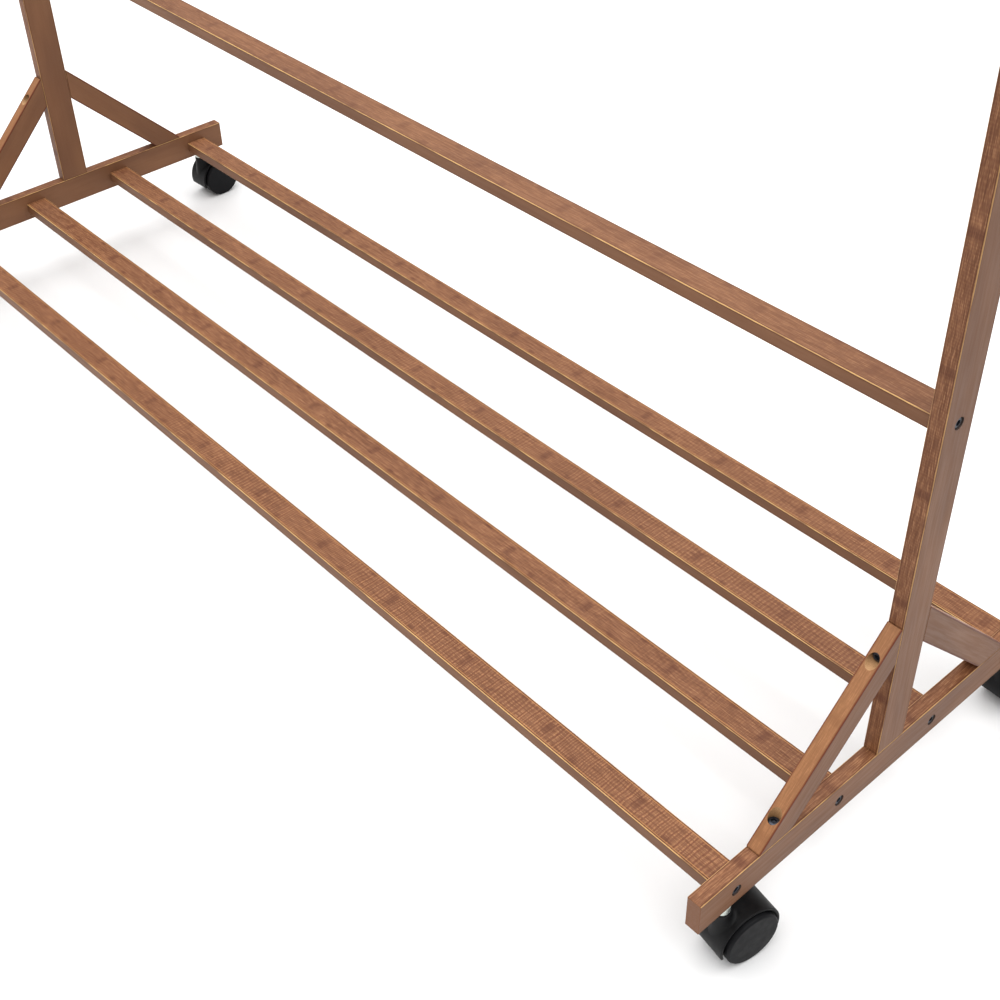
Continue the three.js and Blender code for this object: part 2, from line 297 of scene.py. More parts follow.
class Board:
    """What the bamboo's layers read: the place on the board, its style, its noises and its open faces."""

    def __init__(self, g):
        self.g = g
        place = g.attribute("grain")
        self.seed = g.attribute("seed", "Fac")
        self.along, self.wide, self.thick = g.split(place)
        half_wide, half_thick, self.tone = g.split(g.attribute("half"))
        self.chatter_level, self.broad_fibres, fibre_level = g.split(g.attribute("style"))
        offset = g.join(g.times(self.seed, 3.7), self.seed, g.times(self.seed, 1.3))
        self.place = g.vector("ADD", place, offset)

        # the distance to the nearest arris, and how open the grain is on this face
        from_wide = g.minus(half_wide, g.maths("ABSOLUTE", self.wide))
        from_thick = g.minus(half_thick, g.maths("ABSOLUTE", self.thick))
        self.from_edge = g.maths("MAXIMUM", from_wide, from_thick)
        narrow = g.ramp(from_wide, 0.4 * MM, 0.8 * MM, 1, 0)
        on_broad = g.times(g.minus(1.0, narrow), self.broad_fibres)
        on_narrow = g.times(narrow, g.minus(1.0, self.broad_fibres))
        self.open_face = g.times(g.maths("ADD", on_broad, on_narrow), fibre_level)

        # bundles of fibres a few millimetres wide, dashes inside them and fine lines
        self.bundles = self.noise((18, 360, 360), detail=3, roughness=0.65)
        self.dashes = self.noise((75, 1000, 1000), detail=2, roughness=0.6)
        self.fine = self.noise((50, 1900, 1900), detail=2, roughness=0.6)

        # slow changes of colour, where the tool marks show, and how they wander
        self.cloud = self.noise((7, 30, 30), detail=2)
        self.patches = self.noise((16, 12, 12), detail=2)
        self.wobble = self.noise((55, 60, 60), detail=2)

    def noise(self, scale, detail, roughness=0.5):
        """A noise with its own scale along the grain, across the width and through the thickness."""
        return self.g.noise(self.g.vector("MULTIPLY", self.place, scale), detail=detail, roughness=roughness)

    def rungs(self):
        """The planer's chatter across the grain, broken into dashes by the fibres."""
        g = self.g
        coarse = g.wave(self.along, COARSE_CHATTER, bend=self.wobble, amount=6.0)
        coarse = g.times(coarse, g.ramp(self.patches, 0.34, 0.56))
        fine = g.wave(self.along, FINE_CHATTER, bend=self.wobble, amount=9.0)
        fine = g.times(fine, g.ramp(self.patches, 0.62, 0.46))
        broken = g.times(g.maths("ADD", coarse, fine), g.ramp(self.dashes, 0.36, 0.64, 0.1, 1.0))
        return g.times(broken, self.chatter_level)

    def cane_node(self):
        """Darker bands across each strip, one every cane length, staggered from strip to strip."""
        g = self.g
        cell = g.maths("ADD", g.times(self.along, 1 / CANE_LENGTH), g.times(self.seed, BOARD_STAGGER))
        strip = g.maths("FLOOR", g.times(g.maths("ADD", self.wide, STRIP_START), 1 / STRIP_WIDTH))
        cell = g.maths("ADD", cell, g.times(strip, STRIP_STAGGER))
        from_node = g.maths("ABSOLUTE", g.minus(g.maths("FRACT", cell), 0.5))
        return g.times(g.ramp(from_node, 0.015, 0.060, 1, 0), g.ramp(self.fine, 0.30, 0.62, 0.35, 1.0))

    def sanding(self):
        """Faint slanting marks on the closed faces of the boards that stand on edge."""
        g = self.g
        slant = g.maths("ADD", g.times(self.along, 0.5), g.maths("ADD", self.wide, self.thick))
        marks = g.wave(slant, SANDING_PITCH, bend=self.wobble, amount=14.0)
        marks = g.times(marks, g.ramp(self.patches, 0.40, 0.62))
        closed = g.maths("SUBTRACT", 1.0, self.open_face, clamp=True)
        return g.times(g.times(marks, closed), g.minus(1.0, self.broad_fibres))

    def band(self, edge, start, full, fall, end):
        """1 between full and fall, which are distances from the arris, and 0 outside start and end."""
        return self.g.times(self.g.ramp(edge, start, full), self.g.ramp(edge, fall, end, 1, 0))


def face_colour(board, rungs):
    """The smooth stain of the closed faces and the fibres, chatter and cane nodes of the open ones."""
    g = board.g
    calm = g.mix(g.ramp(board.cloud, 0.3, 0.7), stain(136, 97, 73), stain(153, 111, 83))
    calm = g.mix(g.ramp(board.bundles, 0.35, 0.65, 0.10, 0.0), calm, stain(112, 76, 56))
    lively = g.mix(g.ramp(board.cloud, 0.32, 0.68), stain(150, 104, 75), stain(171, 122, 89))
    lively = g.mix(g.ramp(board.bundles, 0.36, 0.60, 0.62, 0.0), lively, stain(112, 68, 44))
    lively = g.mix(g.ramp(board.dashes, 0.42, 0.58, 0.52, 0.0), lively, stain(104, 62, 42))
    lively = g.mix(g.ramp(board.dashes, 0.56, 0.70, 0.0, 0.55), lively, stain(206, 160, 122))
    lively = g.mix(g.ramp(board.fine, 0.56, 0.74, 0.0, 0.40), lively, stain(198, 148, 108))
    lively = g.mix(g.times(rungs, 0.5, clamp=True), lively, stain(204, 152, 108))
    lively = g.mix(g.times(rungs, -0.75, clamp=True), lively, stain(122, 66, 46))
    lively = g.mix(g.times(board.cane_node(), 0.7), lively, stain(104, 58, 38))
    return g.mix(board.open_face, calm, lively)


def edge_colour(board, base, end_grain):
    """Arrises rubbed through to pale bamboo, with a dark and a light line beside them, or dark arrises."""
    g = board.g
    wander = board.noise((38, 160, 160), detail=4, roughness=0.7)
    breaks = board.noise((22, 22, 22), detail=3)
    edge = g.maths("ADD", board.from_edge, g.times(g.minus(0.5, wander), EDGE_WANDER))
    rubbed = g.times(g.ramp(edge, 0.35 * MM, 0.85 * MM, 1, 0), g.ramp(breaks, 0.34, 0.50, 0.25, 1.0))
    pale = g.times(rubbed, g.ramp(board.tone, 0.0, 1.0, 0.0, 1.0))
    dark = g.times(g.ramp(edge, 0.6 * MM, 1.5 * MM, 1, 0), g.ramp(board.tone, -0.5, 0.0, 1, 0))
    beside = board.band(edge, 0.8 * MM, 1.0 * MM, 1.6 * MM, 1.9 * MM)
    second = board.band(edge, 1.8 * MM, 2.1 * MM, 2.6 * MM, 2.9 * MM)
    second = g.times(g.times(second, board.open_face), g.ramp(board.tone, 0.8, 1.0))
    sanded = g.times(board.open_face, g.ramp(board.tone, -1.0, -0.5, 0.4, 0.0))
    base = g.mix(g.times(beside, 0.6), base, stain(92, 50, 30))
    base = g.mix(g.times(second, 0.55), base, stain(232, 172, 108))
    base = g.mix(g.times(pale, 0.95), base, rgb(208, 166, 106))
    base = g.mix(sanded, base, stain(216, 160, 112))
    base = g.mix(g.times(dark, 0.8), base, stain(112, 42, 24))
    if end_grain:
        dots = board.noise((300, 1900, 1500), detail=3, roughness=0.7)
        base = g.mix(g.ramp(dots, 0.34, 0.66), stain(128, 86, 60), stain(156, 110, 80))
        base = g.mix(g.times(pale, 0.8), base, rgb(196, 150, 100))
    return base


def bamboo_material(name, end_grain=False):
    """Stained bamboo: its colours, its sanding marks, and a relief of fibres and chatter."""
    material, shader = new_material(name)
    g = Graph(material.node_tree)
    board = Board(g)
    rungs = board.rungs()
    marks = board.sanding()
    base = face_colour(board, rungs)
    base = g.mix(g.times(marks, 0.10, clamp=True), base, stain(184, 150, 126))
    base = g.mix(g.times(marks, -0.10, clamp=True), base, stain(96, 66, 52))
    g.plug(shader.inputs["Base Color"], edge_colour(board, base, end_grain))
    g.plug(shader.inputs["Roughness"], g.ramp(board.bundles, 0.3, 0.7, 0.56, 0.42))
    relief = g.maths("ADD", g.times(board.dashes, 0.6), g.times(rungs, 0.35))
    relief = g.maths("ADD", g.times(relief, board.open_face), g.times(marks, 0.10))
    g.plug(shader.inputs["Normal"], g.bump(relief, strength=0.5, distance=0.16 * MM))
    shader.inputs["Specular IOR Level"].default_value = 0.2
    return material


def bore_material(name, dark, light):
    """The wall of a drilled hole. With near-black colours it is painted shade for the inside of a
    counterbore.
    """
    material, shader = new_material(name)
    g = Graph(material.node_tree)
    place = g.attribute("grain")
    fibre = g.noise(g.vector("MULTIPLY", place, (90, 2200, 2200)), detail=3)
    g.plug(shader.inputs["Base Color"], g.mix(g.ramp(fibre, 0.3, 0.7), dark, light))
    g.plug(shader.inputs["Normal"], g.bump(fibre, strength=0.4, distance=0.15 * MM))
    shader.inputs["Roughness"].default_value = 0.7
    return material


# ---- metal and plastic ----

def speckled(name, colour, other, roughness, metallic, scale, bump, specular=0.5):
    """A finish whose colour and gloss wander a little, with a fine moulded or plated bump."""
    material, shader = new_material(name)
    g = Graph(material.node_tree)
    place = g.nodes.new("ShaderNodeTexCoord").outputs["Object"]
    grain = g.noise(place, scale, detail=3)
    cloud = g.noise(place, scale / 25, detail=3)
    g.plug(shader.inputs["Base Color"], g.mix(g.ramp(cloud, 0.35, 0.65), colour, other))
    g.plug(shader.inputs["Roughness"], g.ramp(cloud, 0.3, 0.7, roughness - 0.05, roughness + 0.07))
    g.plug(shader.inputs["Normal"], g.bump(grain, strength=bump, distance=0.05 * MM))
    shader.inputs["Metallic"].default_value = metallic
    shader.inputs["Specular IOR Level"].default_value = specular
    return material


make_camera()
make_studio()
BAMBOO = bamboo_material("stained_bamboo")
END_GRAIN = bamboo_material("stained_end_grain", end_grain=True)
BARE = bore_material("bare_bamboo", rgb(146, 108, 70), rgb(178, 138, 96))
# The stained boards' hole walls are painted near black: painted shade for the dark gap round the screw heads
# in their counterbores.
PAINTED_SHADE_BORE = bore_material("painted_shade_bore", rgb(40, 30, 26), rgb(84, 66, 58))
SCREW_BLACK = speckled("black_oxide", rgb(40, 43, 50), rgb(66, 70, 80),
                       roughness=0.36, metallic=0.6, scale=1800, bump=0.15)
ZINC = speckled("zinc_plate", rgb(222, 226, 220), rgb(200, 208, 200),
                roughness=0.28, metallic=0.9, scale=900, bump=0.1)
BRASS = speckled("brass_plate", rgb(190, 160, 96), rgb(168, 140, 80),
                 roughness=0.35, metallic=0.95, scale=900, bump=0.1)
HOOD_BLACK = speckled("hood_nylon", rgb(13, 13, 14), rgb(20, 20, 21),
                      roughness=0.44, metallic=0.0, scale=2200, bump=0.2, specular=0.12)
WHEEL_BLACK = speckled("wheel_nylon", rgb(16, 16, 18), rgb(20, 20, 22),
                       roughness=0.5, metallic=0.0, scale=2800, bump=0.2, specular=0.1)


# ---- mesh helpers ----

def put(name, mesh, place, body, slot, node):
    """Adds a piece that rides on a body and stands for a CAD node."""
    obj = bpy.data.objects.new(name, mesh)
    scene.collection.objects.link(obj)
    obj.matrix_world = place
    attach(obj, body)
    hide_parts(node)
    return obj


def as_mesh(bm, name):
    """Turns a bmesh into a mesh and frees it."""
    mesh = bpy.data.meshes.new(name)
    bm.to_mesh(mesh)
    bm.free()
    return mesh


def lathe(profile, sides):
    """A mesh turned round +Z from (radius, height) pairs that start and end on the axis."""
    bm = bmesh.new()
    turns = [2 * math.pi * k / sides for k in range(sides)]
    rings = []
    for radius, height in profile:
        points = [(radius * math.cos(turn), radius * math.sin(turn), height) for turn in turns]
        rings.append([bm.verts.new(point) for point in (points if radius else points[:1])])
    for low, high in zip(rings, rings[1:]):
        for k in range(sides):
            n = (k + 1) % sides
            corners = [low[k % len(low)], low[n % len(low)], high[n % len(high)], high[k % len(high)]]
            corners = [v for i, v in enumerate(corners) if v not in corners[:i]]    # 3 beside a point
            bm.faces.new(corners)
    bmesh.ops.recalc_face_normals(bm, faces=bm.faces)
    return as_mesh(bm, "turned")


def aimed(start, direction):
    """The matrix that puts a mesh made along +Z at start, pointing along direction."""
    return Matrix.Translation(start) @ Z.rotation_difference(Vector(direction)).to_matrix().to_4x4()


def joined(meshes):
    """One mesh that holds all the given ones, without merging them."""
    bm = bmesh.new()
    for mesh in meshes:
        bm.from_mesh(mesh)
    return as_mesh(bm, "joined")


def boolean(mesh, other, operation):
    """The mesh after a boolean with another mesh, both closed."""
    a = bpy.data.objects.new("a", mesh)
    b = bpy.data.objects.new("b", other)
    for obj in (a, b):
        scene.collection.objects.link(obj)
    cut = a.modifiers.new("cut", "BOOLEAN")
    cut.object = b
    cut.operation = operation
    cut.solver = "EXACT"
    bpy.context.view_layer.update()
    done = bpy.data.meshes.new_from_object(a.evaluated_get(bpy.context.evaluated_depsgraph_get()))
    for obj in (a, b):
        bpy.data.objects.remove(obj)
    return done


def smooth_by_angle(mesh, degrees):
    """Smooth shading with a crease wherever two faces meet at more than the given angle."""
    bm = bmesh.new()
    bm.from_mesh(mesh)
    for face in bm.faces:
        face.smooth = True
    for edge in bm.edges:
        edge.smooth = len(edge.link_faces) == 2 and edge.calc_face_angle(0) < math.radians(degrees)
    bm.to_mesh(mesh)
    bm.free()


def even_normals(obj):
    """Gives the large flat faces flat shading right up to the rounded edges beside them."""
    weighted = obj.modifiers.new("even_normals", "WEIGHTED_NORMAL")
    weighted.keep_sharp = True
    weighted.weight = 100


# ---- boards ----

HOLE_RUN = 16 * MM                 # how far a hole's cutter runs out past the screw's head
CUT_PAST = 1 * MM                  # how far other cutters run out past the face that they enter
END_GRAIN_TURN = 0.6               # faces that look along the grain by more than this show end grain


def head_top(screw, direction):
    """Where a CAD screw's head starts, and the screw's length, given the direction it is driven in."""
    low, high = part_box(screw)
    middle = (low + high) / 2
    length = abs((high - low).dot(Vector(direction)))
    return middle - Vector(direction) * length / 2, length


def hole_cutter(screw, direction):
    """The counterbore and the shank's hole for a screw, as (mesh, point on its axis, direction)."""
    start, length = head_top(screw, direction)
    shank = SHANK_RADIUS + HOLE_CLEARANCE
    seat = HEAD_HEIGHT + HOLE_CLEARANCE
    bottom = length + HOLE_CLEARANCE
    mesh = lathe([(0, -HOLE_RUN), (COUNTERBORE_RADIUS, -HOLE_RUN), (COUNTERBORE_RADIUS, seat), (shank, seat),
                  (shank, bottom), (0, bottom)], sides=48)
    mesh.transform(aimed(start, direction))
    return mesh, start, Vector(direction)


def insert_cutter(insert):
    """The hole for a threaded insert, up from below, in the same form as hole_cutter's."""
    low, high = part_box(insert)
    radius = (high.x - low.x) / 2 + HOLE_CLEARANCE
    end_gap = 0.5 * MM
    deep = high.z - low.z + end_gap
    mesh = lathe([(0, -CUT_PAST), (radius, -CUT_PAST), (radius, deep), (0, deep)], sides=40)
    start = Vector(((low.x + high.x) / 2, (low.y + high.y) / 2, low.z))
    mesh.transform(Matrix.Translation(start))
    return mesh, start, Z


def prism(outline, depth, rounding):
    """Extrudes a closed (x, y) outline symmetrically along Z and rounds its edges."""
    bm = bmesh.new()
    face = bm.faces.new([bm.verts.new((x, y, -depth / 2)) for x, y in outline])
    grown = bmesh.ops.extrude_face_region(bm, geom=[face])
    moved = [item for item in grown["geom"] if isinstance(item, bmesh.types.BMVert)]
    bmesh.ops.translate(bm, vec=(0, 0, depth), verts=moved)
    bmesh.ops.recalc_face_normals(bm, faces=bm.faces)
    bmesh.ops.bevel(bm, geom=list(bm.edges), offset=rounding, segments=3, profile=0.5, affect="EDGES")
    return as_mesh(bm, "prism")


def finish_board(name, mesh, axes, middle, half, tone, style, cutters, seed, bore=None):
    """Cuts the holes, writes what the bamboo material reads and puts the board in the scene."""
    if cutters:
        mesh = boolean(mesh, joined([cutter[0] for cutter in cutters]), "DIFFERENCE")
    values = {"grain": [], "half": [], "style": [], "seed": []}
    for vertex in mesh.vertices:
        away = vertex.co - middle
        values["grain"] += [away.dot(axis) for axis in axes]
        values["half"] += [half[0], half[1], tone]
        values["style"] += style
        values["seed"].append(seed)
    for label, numbers in values.items():
        scalar = label == "seed"
        layer = mesh.attributes.new(label, "FLOAT" if scalar else "FLOAT_VECTOR", "POINT")
        layer.data.foreach_set("value" if scalar else "vector", numbers)
    # Hole walls take the given bore finish, or else the painted-shade bore, whose near-black walls stand in
    # for the shade inside the counterbores.
    for material in (BAMBOO, END_GRAIN, bore or PAINTED_SHADE_BORE):
        mesh.materials.append(material)
    for face in mesh.polygons:
        bored = any(in_bore(face, start, direction) for _, start, direction in cutters)
        on_end = abs(face.normal.dot(axes[0])) > END_GRAIN_TURN
        face.material_index = 2 if bored else 1 if on_end else 0
    smooth_by_angle(mesh, degrees=40)
    even_normals(put(name + "_board", mesh, Matrix(), "frame", "bamboo", name))


def in_bore(face, start, direction):
    """Whether a face is a hole's wall or seat, and not a large face whose middle lies on the hole's axis."""
    away = face.center - start
    from_axis = (away - away.dot(direction) * direction).length
    slack = 0.05 * MM
    seat_area = math.pi * COUNTERBORE_RADIUS ** 2
    return from_axis < COUNTERBORE_RADIUS + slack and face.area < 1.1 * seat_area


def straight_board(name, grain_axis, wide_axis, tone, style, cutters, seed):
    """A rectangular board that fills its CAD node's box."""
    low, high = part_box(name)
    size, middle = high - low, (low + high) / 2
    axes = (grain_axis, wide_axis, grain_axis.cross(wide_axis))
    length, width, thickness = (abs(size.dot(axis)) for axis in axes)
    outline = [(x * length / 2, y * width / 2) for x, y in ((-1, -1), (1, -1), (1, 1), (-1, 1))]
    mesh = prism(outline, thickness, ARRIS)
    mesh.transform(placed(*axes, middle))
    finish_board(name, mesh, axes, middle, (width / 2, thickness / 2), tone, style, cutters, seed)


def brace_board(side, end, cutters, seed):
    """A corner brace, cut at 45 degrees to stand on the foot rail and against the upright."""
    name = f"brace_{side}_{end}"
    low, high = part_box(name)
    out = -TOWARD[end]
    corner = Vector(((low.x + high.x) / 2, high.y if end == "front" else low.y, low.z))
    reach = high.z - low.z
    short = reach + BRACE_TIP - BRACE_WIDTH * math.sqrt(2)
    outline = [(0, short), (short, 0), (reach, 0), (reach, BRACE_TIP), (BRACE_TIP, reach), (0, reach)]
    mesh = prism(outline, high.x - low.x, ARRIS)
    mesh.transform(placed(out, Z, out.cross(Z), corner))
    grain_axis = (Z - out).normalized()
    wide_axis = (Z + out).normalized()
    middle_wide = (reach + BRACE_TIP) / math.sqrt(2) - BRACE_WIDTH / 2
    middle = corner + (out + Z) * reach / 2
    middle += wide_axis * (middle_wide - (middle - corner).dot(wide_axis))
    half = (BRACE_WIDTH / 2, (high.x - low.x) / 2)
    axes = (grain_axis, wide_axis, X)
    finish_board(name, mesh, axes, middle, half, BRACE_TONE, BRACE_STYLE, cutters, seed, bore=BARE)


# edge tones, and styles: chatter strength, fibres on the broad faces, fibre strength
SLAT_TONE = 1.0
MID_RAIL_TONE = 0.8
RAIL_TONE = 0.6
UPRIGHT_TONE = 0.5
ROD_TONE = 0.0
BRACE_TONE = -1.0
SLAT_STYLE = {"front": (1.0, 1.0, 0.9), "mid_front": (0.35, 1.0, 1.0), "mid_rear": (0.8, 1.0, 0.9),
              "rear": (0.5, 1.0, 0.9)}
MID_RAIL_STYLE = (0.2, 1.0, 0.6)
RAIL_STYLE = (0.15, 0.0, 1.0)
UPRIGHT_STYLE = (0.25, 0.0, 1.0)
ROD_STYLE = (0.1, 1.0, 0.6)
BRACE_STYLE = (0.2, 0.0, 0.8)


def make_boards():
    """The 14 bamboo pieces. The last number that each one is given is its seed."""
    for index, slat in enumerate(SLATS):
        cutters = [hole_cutter(f"slat_screw_{slat}_{side}", INWARD[side]) for side in SIDES]
        straight_board(f"slat_{slat}", X, Y, SLAT_TONE, SLAT_STYLE[slat], cutters, 1.3 + index)
    cutters = [hole_cutter(f"mid_rail_screw_{side}", INWARD[side]) for side in SIDES]
    straight_board("mid_rail", X, Y, MID_RAIL_TONE, MID_RAIL_STYLE, cutters, 6.1)
    hanging_rod([hole_cutter(f"rod_screw_{side}", INWARD[side]) for side in SIDES], 18.9)
    for number, side in enumerate(SIDES):
        cutters = [hole_cutter(f"slat_screw_{slat}_{side}", INWARD[side]) for slat in SLATS]
        cutters += [hole_cutter(f"brace_foot_screw_{side}_{end}", -Z) for end in ENDS]
        cutters += [insert_cutter(f"threaded_insert_{end}_{side}") for end in ENDS]
        cutters.append(hole_cutter(f"base_screw_{side}", Z))
        straight_board(f"foot_rail_{side}", Y, Z, RAIL_TONE, RAIL_STYLE, cutters, 7.7 + number)
        cutters = [hole_cutter(f"mid_rail_screw_{side}", INWARD[side]),
                   hole_cutter(f"rod_screw_{side}", INWARD[side]),
                   hole_cutter(f"base_screw_{side}", Z)]
        cutters += [hole_cutter(f"brace_post_screw_{side}_{end}", TOWARD[end]) for end in ENDS]
        straight_board(f"upright_{side}", Z, Y, UPRIGHT_TONE, UPRIGHT_STYLE, cutters, 10.2 + number)
        for order, end in enumerate(ENDS):
            cutters = [hole_cutter(f"brace_foot_screw_{side}_{end}", -Z),
                       hole_cutter(f"brace_post_screw_{side}_{end}", TOWARD[end])]
            brace_board(side, end, cutters, 13.4 + number * 2 + order)


def hanging_rod(cutters, seed):
    """The round rod. It has no arrises, so its half sizes are set far beyond its surface."""
    low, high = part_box("hanging_rod")
    length, radius, middle = high.x - low.x, (high.z - low.z) / 2, (low + high) / 2
    mesh = lathe([(0, 0), (radius - ARRIS, 0), (radius, ARRIS), (radius, length - ARRIS),
                  (radius - ARRIS, length), (0, length)], sides=64)
    mesh.transform(aimed((low.x, middle.y, middle.z), X))
    finish_board("hanging_rod", mesh, (X, Y, Z), middle, (1, 1), ROD_TONE, ROD_STYLE, cutters, seed)


# ---- screws ----

SCREW_TURN = 0.9                   # radians from one screw's socket to the next one's


def screw_mesh(length):
    """A screw along +Z with its head's top at 0: a chamfered, domed head and a hexagon socket."""
    chamfer, dome, ease = 0.7 * MM, 0.25 * MM, 0.2 * MM
    point = 0.6 * MM
    drill_cone = 0.8 * MM
    head = [(0, 0), (HEAD_RADIUS - chamfer, 0), (HEAD_RADIUS - ease, dome), (HEAD_RADIUS, chamfer),
            (HEAD_RADIUS, HEAD_HEIGHT - ease), (HEAD_RADIUS - ease, HEAD_HEIGHT)]
    shank = [(SHANK_RADIUS, HEAD_HEIGHT), (SHANK_RADIUS, length - point), (SHANK_RADIUS - point, length),
             (0, length)]
    corner = SOCKET_FLATS / math.sqrt(3)
    socket = lathe([(0, -CUT_PAST), (corner, -CUT_PAST), (corner, SOCKET_DEPTH),
                    (0, SOCKET_DEPTH + drill_cone)], sides=6)
    mesh = boolean(lathe(head + shank, sides=48), socket, "DIFFERENCE")
    smooth_by_angle(mesh, degrees=50)
    mesh.materials.append(SCREW_BLACK)
    return mesh


def make_screws():
    """All 22 screws, each with its socket turned a little further than the one before."""
    driven = {}
    for side in SIDES:
        for slat in SLATS:
            driven[f"slat_screw_{slat}_{side}"] = INWARD[side]
        driven[f"mid_rail_screw_{side}"] = INWARD[side]
        driven[f"rod_screw_{side}"] = INWARD[side]
        driven[f"base_screw_{side}"] = Z
        for end in ENDS:
            driven[f"brace_foot_screw_{side}_{end}"] = -Z
            driven[f"brace_post_screw_{side}_{end}"] = TOWARD[end]
    meshes = {}
    for order, (name, direction) in enumerate(driven.items()):
        start, length = head_top(name, direction)
        key = round(length, 4)
        if key not in meshes:                           # screws of one length share a mesh
            meshes[key] = screw_mesh(length)
        place = aimed(start, direction) @ Matrix.Rotation(SCREW_TURN * order, 4, "Z")
        put(name + "_bolt", meshes[key], place, "frame", "black_screw", name)


# ---- casters ----
# A caster's own axes: x along the wheels' axle, y towards the trailing side, z up, with the stem on z.

def round_axle(radius, angle):
    """The (y, z) place at a radius and an angle about the axle."""
    return TRAIL + radius * math.cos(angle), WHEEL_RADIUS + radius * math.sin(angle)


def hood_angles(steps):
    """Angles about the axle, from the cover's rear end to its front end."""
    return [HOOD_REAR_END + (HOOD_FRONT_END - HOOD_REAR_END) * step / steps for step in range(steps + 1)]


def hood_height(y):
    """Height of the hood's outer surface above the floor, at y."""
    return WHEEL_RADIUS + math.sqrt(HOOD_RADIUS ** 2 - (y - TRAIL) ** 2)


def hood_shell():
    """The arched cover: a section with rounded lips, swept round the axle."""
    lip, lip_steps = 0.9 * MM, 4
    inner = HOOD_RADIUS - HOOD_WALL
    section = []
    for x, r, start in ((HOOD_HALF - lip, HOOD_RADIUS - lip, 0), (-HOOD_HALF + lip, HOOD_RADIUS - lip, 90),
                        (-HOOD_HALF + lip, inner + lip, 180), (HOOD_HALF - lip, inner + lip, 270)):
        for step in range(lip_steps + 1):
            angle = math.radians(start + 90 * step / lip_steps)
            section.append((x + lip * math.cos(angle), r + lip * math.sin(angle)))
    bm = bmesh.new()
    rings = []
    for angle in hood_angles(84):
        rings.append([bm.verts.new((x, *round_axle(r, angle))) for x, r in section])
    count = len(section)
    for low, high in zip(rings, rings[1:]):
        for k in range(count):
            n = (k + 1) % count
            bm.faces.new((low[k], low[n], high[n], high[k]))
    for ring in (rings[0], rings[-1]):
        bm.faces.new(ring)
    bmesh.ops.recalc_face_normals(bm, faces=bm.faces)
    ends = [e for e in bm.edges if any(len(f.verts) == count for f in e.link_faces)]
    bmesh.ops.bevel(bm, geom=ends, offset=0.6 * MM, segments=3, profile=0.5, affect="EDGES")
    return as_mesh(bm, "hood_shell")


def bezier(points, t):
    """The place at t on the cubic curve of four (x, y) points."""
    weights = ((1 - t) ** 3, 3 * t * (1 - t) ** 2, 3 * t * t * (1 - t), t ** 3)
    return tuple(sum(w * p[i] for w, p in zip(weights, points)) for i in (0, 1))


def boss_column(rearward):
    """The boss's side as (radius, height) pairs. rearward is 1 on the trailing side and -1 in front."""
    chamfer = 0.7 * MM
    side_reach, further = 12.4 * MM, 2.6 * MM           # the foot is further out on the trailing side
    reach = side_reach + further * rearward
    foot = hood_height(reach * rearward)
    back = TRAIL - reach * rearward
    slope = rearward * back / math.sqrt(HOOD_RADIUS ** 2 - back ** 2)
    steep = math.hypot(1, slope)
    run = 0.62 * (reach - BOSS_RADIUS) + 0.2 * MM       # how long the flare stays close to the cover
    top = BOSS_TOP - chamfer
    plumb = 0.55 * (top - foot)                         # how long it stays close to the boss
    flare = [(BOSS_RADIUS, top), (BOSS_RADIUS, top - plumb),
             (reach - run / steep, foot - run * slope / steep), (reach, foot)]
    steps = 14
    side = [bezier(flare, step / steps) for step in range(steps + 1)]
    sunk = (reach - 0.3 * MM, foot - 0.9 * MM)          # inside the cover's wall
    return [(BOSS_RADIUS - chamfer, BOSS_TOP), *side, sunk]


def hood_boss():
    """The stem's boss, flaring down into the cover all round."""
    around = 64
    bm = bmesh.new()
    columns = []
    for k in range(around):
        angle = 2 * math.pi * k / around
        column = boss_column(math.cos(angle))
        columns.append([bm.verts.new((r * math.sin(angle), r * math.cos(angle), z)) for r, z in column])
    neighbours = list(zip(columns, columns[1:] + columns[:1]))
    for a, b in neighbours:
        for k in range(len(a) - 1):
            bm.faces.new((a[k], a[k + 1], b[k + 1], b[k]))
    crown = bm.verts.new((0, 0, BOSS_TOP))
    sole = bm.verts.new((0, 0, hood_height(0) - 1.0 * MM))
    for a, b in neighbours:
        bm.faces.new((crown, a[0], b[0]))
        bm.faces.new((sole, b[-1], a[-1]))
    bmesh.ops.recalc_face_normals(bm, faces=bm.faces)
    return as_mesh(bm, "hood_boss")


def hood_web():
    """The plate between the wheels, from the cover down to the hub."""
    outline = [round_axle(HOOD_RADIUS - HOOD_WALL / 2, angle) for angle in hood_angles(64)]
    arc_steps = 16                                      # a quarter turn round the hub's underside
    outline += [round_axle(HUB_RADIUS, math.radians(225 + 90 * k / arc_steps)) for k in range(arc_steps + 1)]
    mesh = prism(outline, 2 * WEB_HALF, rounding=0.4 * MM)
    mesh.transform(placed(Y, Z, X))
    return mesh


def hood_mesh():
    """The hood in one piece, with the stem's bore and the axle's."""
    mesh = boolean(hood_shell(), hood_web(), "UNION")
    mesh = boolean(mesh, hood_boss(), "UNION")
    bottom, above = PIN_BOTTOM - HOLE_CLEARANCE, COLLAR_BOTTOM + 4 * MM
    pin = lathe([(0, bottom), (PIN_BORE, bottom), (PIN_BORE, above), (0, above)], sides=40)
    mesh = boolean(mesh, pin, "DIFFERENCE")
    half = 8 * MM                                       # past both faces of the web
    axle = lathe([(0, 0), (AXLE_BORE, 0), (AXLE_BORE, 2 * half), (0, 2 * half)], sides=40)
    axle.transform(aimed((-half, TRAIL, WHEEL_RADIUS), X))
    mesh = boolean(mesh, axle, "DIFFERENCE")
    smooth_by_angle(mesh, degrees=38)
    return mesh


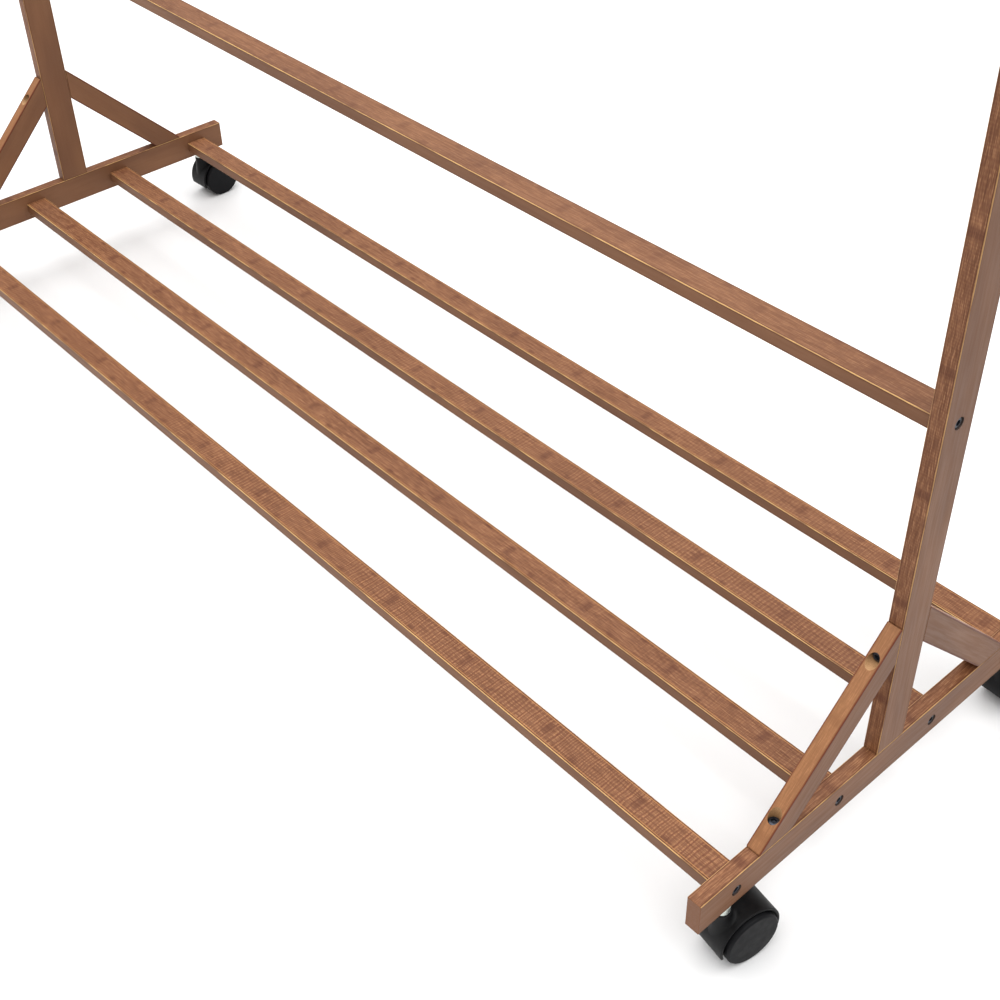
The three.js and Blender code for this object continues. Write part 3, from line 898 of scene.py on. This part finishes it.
def wheel_mesh():
    """A wheel along +Z from its inner face: a straight tread, a rounded shoulder and a plain domed disc."""
    width = WHEEL_OUTER - WHEEL_INNER
    shoulder = 2.4 * MM
    bore_depth = 12 * MM
    dome = 0.4 * MM
    countersink = 0.4 * MM
    edge, edge_round = 1.2 * MM, 0.35 * MM
    profile = [(0, bore_depth), (AXLE_BORE, bore_depth), (AXLE_BORE, countersink),
               (AXLE_BORE + countersink, 0), (WHEEL_RADIUS - edge, 0),
               (WHEEL_RADIUS - edge_round, edge_round), (WHEEL_RADIUS, edge)]
    round_steps = 8
    for step in range(round_steps + 1):
        angle = math.radians(90 * step / round_steps)
        profile.append((WHEEL_RADIUS - shoulder + shoulder * math.cos(angle),
                        width - dome - shoulder + shoulder * math.sin(angle)))
    for share in (0.85, 0.6, 0.35, 0.15):               # rings of the disc, as shares of its radius
        profile.append((share * (WHEEL_RADIUS - shoulder), width - dome * share ** 2))
    profile.append((0, width))
    mesh = lathe(profile, sides=128)
    smooth_by_angle(mesh, degrees=40)
    return mesh


def stem_mesh(low, high):
    """The stem above the floor point below it: plain pin, collar with eased edges, and stud."""
    ease = 0.5 * MM
    profile = [(0, low), (PIN_RADIUS - ease, low), (PIN_RADIUS, low + ease), (PIN_RADIUS, COLLAR_BOTTOM),
               (COLLAR_RADIUS - ease, COLLAR_BOTTOM), (COLLAR_RADIUS, COLLAR_BOTTOM + ease),
               (COLLAR_RADIUS, COLLAR_TOP - ease), (COLLAR_RADIUS - ease, COLLAR_TOP),
               (STUD_RADIUS, COLLAR_TOP), (STUD_RADIUS, high - ease), (STUD_RADIUS - ease, high), (0, high)]
    mesh = lathe(profile, sides=64)
    smooth_by_angle(mesh, degrees=40)
    return mesh


def make_casters():
    """The four casters at their rest headings, and the materials of the CAD axles and inserts that stay."""
    joints = {joint["name"]: joint for joint in frame["joints"]}
    low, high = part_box("caster_stem_front_left")
    shared = {"hood": hood_mesh(), "wheel": wheel_mesh(), "stem": stem_mesh(low.z, high.z)}
    for key, material in (("hood", HOOD_BLACK), ("wheel", WHEEL_BLACK), ("stem", ZINC)):
        shared[key].materials.append(material)
    for corner in CORNERS:
        stem = Vector(joints[f"swivel_{corner}"]["pos_m"])
        floor_point = Vector((stem.x, stem.y, 0))
        across = Vector(joints[f"spin_right_{corner}"]["axis"]).normalized()
        heading = placed(across, Z.cross(across), Z, floor_point)
        upright = Matrix.Translation(floor_point)
        pieces = [
            (f"hood_{corner}", "hood", heading, f"caster_{corner}", "black_plastic", f"caster_hood_{corner}"),
            (f"stem_{corner}", "stem", upright, "frame", "zinc_steel", f"caster_stem_{corner}"),
        ]
        for hand, way in (("left", -1), ("right", 1)):
            facing = heading @ aimed((way * WHEEL_INNER, TRAIL, WHEEL_RADIUS), (way, 0, 0))
            name = f"wheel_{hand}_{corner}"
            pieces.append((f"{name}_roller", "wheel", facing, name, "wheel_plastic", name))
        for name, key, place, body, slot, node in pieces:
            even_normals(put(name, shared[key], place, body, slot, node))
        for node, material in ((f"caster_axle_{corner}", ZINC), (f"threaded_insert_{corner}", BRASS)):
            slots = frame["nodes"][node].data.materials
            slots.clear()
            slots.append(material)


make_boards()
make_screws()
make_casters()
